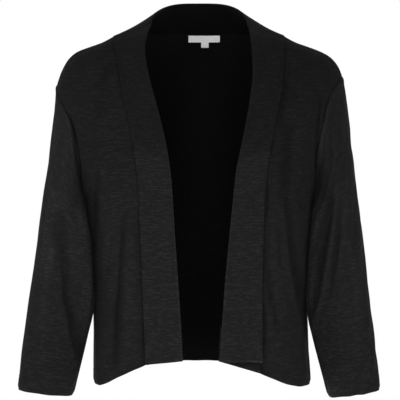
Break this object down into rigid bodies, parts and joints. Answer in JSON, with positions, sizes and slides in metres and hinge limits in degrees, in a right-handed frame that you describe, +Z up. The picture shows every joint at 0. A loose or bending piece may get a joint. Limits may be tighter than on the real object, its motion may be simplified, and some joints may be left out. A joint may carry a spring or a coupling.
{
  "type": "cardigan",
  "caption": "Open-front cropped jersey cardigan with a wide doubled front band round the neck, dropped-shoulder bracelet sleeves and a dipped hem, filled out as worn.",
  "frame": {"origin": "midway between the shoulder seams, at their height, where the wearer's shoulders hold the cardigan up", "axes": "+Z up, -Y towards the open front, +X towards the wearer's left"},
  "size_m": [0.5308, 0.2362, 0.5838],
  "materials": {
    "jersey": "matt black slub jersey with fine crosswise streaks",
    "band_jersey": "the same jersey, doubled, a little lighter",
    "label_satin": "white woven satin, blank"
  },
  "bodies": {
    "root": {"back": "jersey", "front_right": "jersey", "front_left": "jersey", "sleeve_right": "jersey", "sleeve_left": "jersey", "band_right": "band_jersey", "band_left": "band_jersey", "band_left_inner": "band_jersey", "label": "label_satin", "size_tab": "label_satin"}
  },
  "joints": []
}
